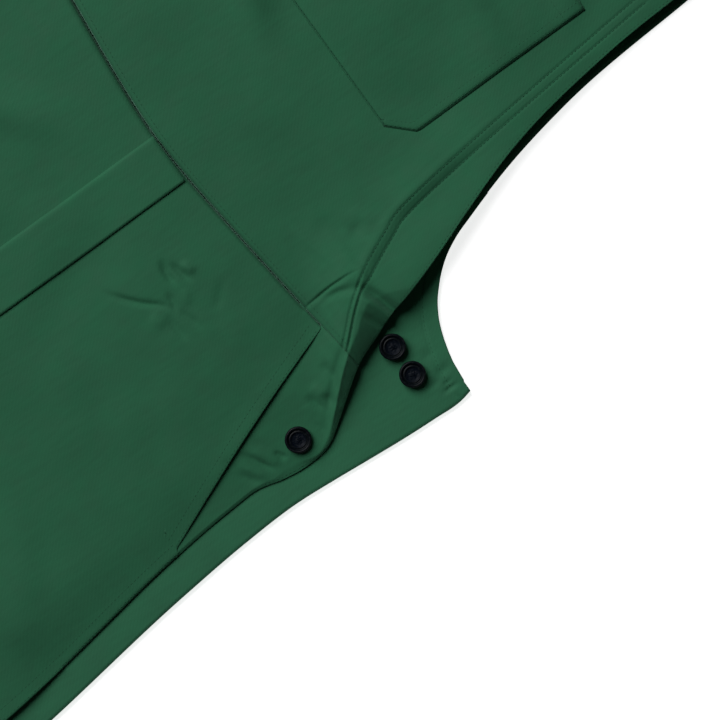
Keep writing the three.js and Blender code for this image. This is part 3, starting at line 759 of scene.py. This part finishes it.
def facingPath(side, across):
    # One line of the facing's twin stitching, at -1 or 1 across, or the middle between them at 0.
    # The pair is wider apart up the bib.
    line = smoothPath([(111, 240), (117, 170), (123.5, 100), (128.8, 52), (132.6, 29), (137.2, 18), (141.5, 8),
                       (146.5, -2.8), (151.2, -11.6), (156, -20.5), (164, -31.2), (172.5, -40.6), (182, -51)], 240)
    apart = 1.7 + 1.3 * ramp(line[:, 1], -22, -8)
    return offsetPath(line, across * apart[:, None]) * np.array([side, 1])


def bibHeight(x, y):
    # The front over both sides, with the waist seam, the facing's two stitched grooves and the ridge
    # between them, the facing's edge as a step down, and a hem along the top.
    z = bothSides(x, y)
    z = z + np.where(np.abs(x) < 202, seamGroove(np.abs(x), y, leg["seamDepth"]), 0)
    for across in (-1, 1):
        d = np.minimum(distanceTo(facingLines[1, across], x, y), distanceTo(facingLines[-1, across], x, y))
        z = z + groove(d, facing["groove"], facing["grooveWidth"]) * (0.4 + 0.6 * ramp(-y, 8, 22))
    middle = facingLines[1, 0]
    d = distanceTo(middle, x, y)
    z = z + facing["ridge"] * np.exp(-(d / facing["ridgeWidth"]) ** 2) * ramp(-y, 14, 24)
    past = np.where(x > np.interp(-y, -middle[:, 1], middle[:, 0]), d, -d)
    lip = facing["lip"] * np.exp(-((past + 6) / 2.6) ** 2)
    half = facing["half"]
    fall = facing["step"] * np.clip((past + half) / (2 * half), 0, 1)
    fall = fall * np.exp(-(np.maximum(past - half, 0) / facing["back"]) ** 2)
    z = z + ramp(y, -24, -10) * ramp(-y, -150, -60) * (lip - fall)
    return z + 0.5 * ramp(y, 262, 264)


def makeBib():
    # From the top hem to the waist seam, with both waist flaps; fine columns round the facing and the fold.
    values = dict(bottom=-49, spreadTo=60, gap=0.15, stitchesIn=1.8, hemStitches=266, aboveSeam=4.2)
    facingLines.update({(side, across): facingPath(side, across) for side in (1, -1) for across in (-1, 0, 1)})
    rows = stepped((garment["bibTop"], 4), (60, 1.6), (34, 0.8), (values["bottom"], 0))
    u = stepped((-213, 3), (88, 1.5), (124, 0.78), (187, 0))
    u = (u - u[0]) / (u[-1] - u[0])
    x, y = followSeam(rows, u, lambda v: -freeEdge(v, 1), lambda v: freeEdge(v, 0),
                      values["bottom"], values["spreadTo"], values["gap"])
    item = clothFrom("bibPanel", x, y, bibHeight(x, y), materials["twill"])
    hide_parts("bib_panel", "waist_flap_left", "waist_flap_right")
    liftWithFlap(item)

    rowsOut = [stitchRow(path, bibHeight, radius=0.3) for (side, across), path in facingLines.items() if across]
    seamX = np.linspace(-200, 188, 200)
    rowsOut.append(stitchRow(np.column_stack([seamX, waistSeam(seamX) + values["aboveSeam"]]), bibHeight))
    for side, closed in ((1, 0), (-1, 1)):
        edge = sampled(lambda v: side * freeEdge(v, closed), 286, -46, 200)
        rowsOut.append(stitchRow(offsetPath(edge, -side * values["stitchesIn"]), bibHeight))
    rowsOut.append(stitchRow([(-118, values["hemStitches"]), (118, values["hemStitches"])], bibHeight))
    stitches = stitchPiece("bibStitches", rowsOut)
    liftWithFlap(stitches)


def makePatches():
    # The bib pocket with its two cut corners, the fly's placket with its round end, and the hidden pocket bags:
    # each a grid that lies on the layer below it, the pocket and the placket with a raised border.
    pocket = dict(half=95, top=205, bottom=55, cut=16, columns=60, rows=50, hem=190, stitches=(0.6, 6))
    u = columnsBetween(pocket["columns"])
    rows = np.linspace(pocket["top"], pocket["bottom"], pocket["rows"])
    half = (pocket["half"] - pocket["cut"] + np.clip(rows - pocket["bottom"], 0, pocket["cut"]))[:, None]
    x = half * (2 * u[None] - 1)
    y = np.repeat(rows[:, None], len(u), 1)
    border = np.minimum(half - np.abs(x), np.minimum(y - pocket["bottom"], pocket["top"] - y + 6))
    z = bibHeight(x, y) + 0.5 + 0.7 * ramp(border, 0, 2.0)
    item = clothFrom("bibPocket", x, y, z, materials["twill"])
    settle(item, ["bib_pocket"])
    outline = np.array([(-94, 203), (-94, 71), (-79, 56), (79, 56), (94, 71), (94, 203)], float)

    def onPocket(x, y):
        # The top of the pocket: the bib's height and the pocket's own.
        return bibHeight(x, y) + 1.15

    rowsOut = [stitchRow(outline * (1 - d / 94, 1), onPocket) for d in pocket["stitches"]]
    rowsOut.append(stitchRow([(-92, pocket["hem"]), (92, pocket["hem"])], onPocket))
    settle(stitchPiece("bibPocketStitches", rowsOut), [])

    fly = dict(top=-70, bottom=-258, width=36, left=-4, round=40.5, columns=20, rows=60)
    rows = np.linspace(fly["top"], fly["bottom"], fly["rows"])
    past = np.clip(1 - ((rows + 218) / fly["round"]) ** 2, 0.01, 1)
    width = np.where(rows > -218, fly["width"], fly["width"] * np.sqrt(past))[:, None]
    x = fly["left"] + width * np.linspace(0, 1, fly["columns"])[None]
    y = np.repeat(rows[:, None], fly["columns"], 1)
    border = np.minimum(x - fly["left"], width - 4 - x + 4)
    z = bothSides(x, y) + 0.4 + 0.7 * ramp(border, 0, 1.6)
    item = clothFrom("flyPlacket", x, y, z, materials["twill"])
    settle(item, ["fly_placket"])

    bag = dict(top=-74, bottom=-298, inner=46, width=92, lean=0.10, height=6.2, columns=14, rows=24, thickness=0.5)
    for side, word in ((1, "left"), (-1, "right")):
        rows = np.linspace(bag["top"], bag["bottom"], bag["rows"])
        x = bag["inner"] + bag["width"] * np.linspace(0, 1, bag["columns"])[None]
        x = x + bag["lean"] * (bag["top"] - rows)[:, None]
        y = np.repeat(rows[:, None], bag["columns"], 1)
        z = np.full_like(x, bag["height"]) + 0.2 * waves(x, y, 80, 2, 3)
        # The bags take the darker inner twill too: painted shade.
        item = clothFrom("pocketBag" + word.title(), x, y, z, materials["inner"], side, bag["thickness"])
        settle(item, [f"pocket_bag_{word}"])


# Radius and height above the cap's underside: dish, inner ring, groove, rim, skirt, neck.
capProfile = np.array([
    (0.0, 1.75), (0.9, 1.85), (1.6, 1.6), (2.6, 1.5), (3.6, 1.55), (4.4, 1.8), (4.9, 2.2), (5.3, 2.35), (5.7, 2.25),
    (6.1, 2.1), (6.5, 2.35), (6.9, 2.9), (7.3, 3.2), (7.8, 3.3), (8.3, 3.1), (8.65, 2.6), (8.8, 2.0), (8.75, 1.3),
    (8.4, 0.6), (7.8, 0.2), (6.5, 0.0), (3.4, 0.0), (3.0, -0.2)])


cap = dict(sides=72, rings=100, dishRadius=4.6, dentSize=1.6, faceRadius=5.0, neckRadius=3.0, footRadius=2.4)


def makeCap(name, node, x, y, underside, neckLow):
    # The profile is smoothed, turned about the button's axis, and roughened inside the dish by waves that
    # run round it and out from its middle.
    profile = smoothPath([tuple(p) for p in capProfile], cap["rings"])
    foot = neckLow - underside
    profile = np.vstack([profile, [(cap["neckRadius"], foot + 0.2), (cap["footRadius"], foot)]])
    profile[0, 0] = 0.02
    sides = cap["sides"]
    angle = (np.arange(sides) * 2 * np.pi / sides)[None]
    r, h = profile[:, 0][:, None], profile[:, 1][:, None]
    rough = np.random.RandomState(int(abs(x) * 3 + abs(y)))
    dents = 0
    for k in range(2, 8):
        size, turn, rings, shift = [rough.uniform(*span) for span in ((0.03, 0.07), (0, 6), (1.5, 3.2), (0, 6))]
        dents = dents + size * np.cos(k * angle + turn) * np.cos(r * rings + shift)
    h = h + dents * np.clip(1 - r / cap["dishRadius"], 0, 1) * cap["dentSize"]
    px, py = x + r * np.cos(angle), y + r * np.sin(angle)
    points = place(np.column_stack([px.ravel(), py.ravel(), (underside + h).ravel()]))
    faces = gridFaces(len(profile), sides, True)[:, ::-1]
    top, bottom = range(sides), range(len(points) - 1, len(points) - 1 - sides, -1)
    item = meshFrom(name, points, faces, materials["button"], ends=(top, bottom))
    item.data.materials.append(materials["buttonFace"])
    ring = np.append(np.repeat(np.arange(len(profile) - 1), sides), [0, len(profile) - 1])
    isFace = profile[ring, 0] < cap["faceRadius"]
    item.data.polygons.foreach_set("material_index", isFace.astype(np.int32))
    settle(item, [node], node)


def makeButtons():
    # Underside of each cap, and how far down its neck goes. The right inner waist button holds the flap.
    values = dict(waist=7.1, waistClosed=10.4, hip=8.9, bib=13.8, neck=3.4, hipNeck=4.4, bibNeck=10.1,
                  bibPlace=(98, 262))
    neck = values["neck"]
    for side, word, closed in ((1, "left", 0), (-1, "right", 1)):
        for kind, (x, y), under, low in (
                ("waist_button_outer", waistButtons[0], values["waist"], neck),
                ("waist_button_inner", waistButtons[1], values["waistClosed"] if closed else values["waist"], neck),
                ("hip_button", hipButton, values["hip"], values["hipNeck"]),
                ("bib_button", values["bibPlace"], values["bib"], values["bibNeck"])):
            first, *others = (kind + "_" + word).split("_")
            makeCap(first + "".join(w.title() for w in others), f"{kind}_{word}", side * x, y, under, low)


def makeStraps():
    # Each strap is a section carried across its width: from over the slider's bar, up to the fold at the top,
    # round it in half a circle, and back down underneath.
    values = dict(x=98, y=262, lean=4, width=38, top=520, foldRadius=5.05, high=10.8, low=0.7, slider=312.5,
                  sliderHeight=15.2, end=277.4, columns=20, thickness=1.0)
    lean, r, m = math.radians(values["lean"]), values["foldRadius"], values["slider"]
    overSlider = [(m - 6.6, 11.5), (m - 4.5, 13.2), (m - 2.2, 14.9), (m, values["sliderHeight"]), (m + 2.2, 14.9),
                  (m + 5, 13), (m + 8, 11.5), (m + 10, values["high"])]
    upper = [(y, values["high"] + 0.5 * math.sin((y - 330) / 30)) for y in np.linspace(336, 506, 30)]
    fold = [(values["top"] - 0.6 - r + r * math.cos(t), 0.6 + r + r * math.sin(t))
            for t in np.linspace(math.pi / 2, -math.pi / 2, 15)]
    lower = [(y, values["low"]) for y in np.linspace(500, values["end"], 30)]
    run = np.array(overSlider + upper + fold + lower)
    columns = values["columns"]
    x = np.repeat((np.linspace(-0.5, 0.5, columns) * values["width"])[None], len(run), 0)
    y = np.repeat((run[:, 0] - values["y"])[:, None], columns, 1)
    z = np.repeat(run[:, 1][:, None], columns, 1)
    for side, word in ((1, "left"), (-1, "right")):
        angle = side * lean
        turnedX = side * values["x"] + x * math.cos(angle) - y * math.sin(angle)
        turnedY = values["y"] + x * math.sin(angle) + y * math.cos(angle)
        points = place(np.column_stack([turnedX.ravel(), turnedY.ravel(), z.ravel()]))
        faces = gridFaces(len(run), columns)[:, ::-1]
        item = meshFrom("strap" + word.title(), points, faces, materials["strap"], uv=points[:, :2])
        solid = item.modifiers.new("thickness", "SOLIDIFY")
        solid.thickness, solid.offset = values["thickness"] / 1000, 0
        settle(item, [f"strap_{word}"])


makeBack()
makeExtensions()
print("stage: back and extensions")
makeLegs()
makeSidePanels()
makeBib()
makePatches()
print("stage: front")
makeButtons()
makeStraps()
print("stage: buttons and straps")

# The CAD's tacks stay as steel, and its sliders and hooks as lacquered metal.
for item in bpy.context.scene.objects:
    if item.type == "MESH" and not item.hide_render and "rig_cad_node" in item:
        item.data.materials.clear()
        item.data.materials.append(materials["steel" if "tack" in item.name else "buckle"])


def makeStudio():
    # A pale floor, one large soft lamp low on one side, and a camera straight above the left hip.
    values = dict(floor=40.0, floorHeight=-0.0006, glow=0.8, target=(192.7, -46.6, 0), sunAzimuth=189,
                  sunElevation=44, keyPower=100, keySize=2.5, keyDistance=3.0, world=0.032,
                  lens=85, sensor=36, viewWidth=0.4716, turn=(0.809, 0.588))
    size, low = values["floor"], values["floorHeight"]
    material, tree, body = newMaterial("floor")
    grain = tree.nodes.new("ShaderNodeTexNoise")
    grain.inputs["Scale"].default_value = 6
    tree.links.new(mapRange(tree, grain.outputs["Fac"], 0.3, 0.7, 0.88, 0.92), body.inputs["Base Color"])
    body.inputs["Roughness"].default_value = 0.9
    body.inputs["Emission Color"].default_value = (1, 1, 1, 1)
    body.inputs["Emission Strength"].default_value = values["glow"]
    corners = np.array([(-size, -size, low), (size, -size, low), (size, size, low), (-size, size, low)])
    meshFrom("floor", corners, np.array([(0, 1, 2, 3)]), material, smooth=False)

    target = place([values["target"]])[0]
    azimuth, elevation = math.radians(values["sunAzimuth"]), math.radians(values["sunElevation"])
    toLight = np.array([math.cos(azimuth) * math.cos(elevation), math.sin(azimuth) * math.cos(elevation),
                        math.sin(elevation)])
    key = bpy.data.objects.new("key", bpy.data.lights.new("key", "AREA"))
    key.data.energy = values["keyPower"]
    key.data.shape = "DISK"
    key.data.size = values["keySize"]
    key.location = target + toLight * values["keyDistance"]
    key.rotation_euler = Vector(tuple(toLight)).to_track_quat("Z", "Y").to_euler()
    bpy.context.scene.collection.objects.link(key)
    world = bpy.data.worlds.new("studio")
    world.use_nodes = True
    world.node_tree.nodes["Background"].inputs[0].default_value = (0.95, 0.98, 1, 1)
    world.node_tree.nodes["Background"].inputs[1].default_value = values["world"]
    bpy.context.scene.world = world

    camera = bpy.data.objects.new("camera", bpy.data.cameras.new("camera"))
    camera.data.lens, camera.data.sensor_width = values["lens"], values["sensor"]
    camera.data.clip_end = 50
    camera.location = (target[0], target[1], values["viewWidth"] * values["lens"] / values["sensor"])
    camera.rotation_euler = (0, 0, math.atan2(*values["turn"]))
    bpy.context.scene.collection.objects.link(camera)
    bpy.context.scene.camera = camera
    bpy.context.scene.view_settings.view_transform = "Standard"


makeStudio()
print("stage: studio")
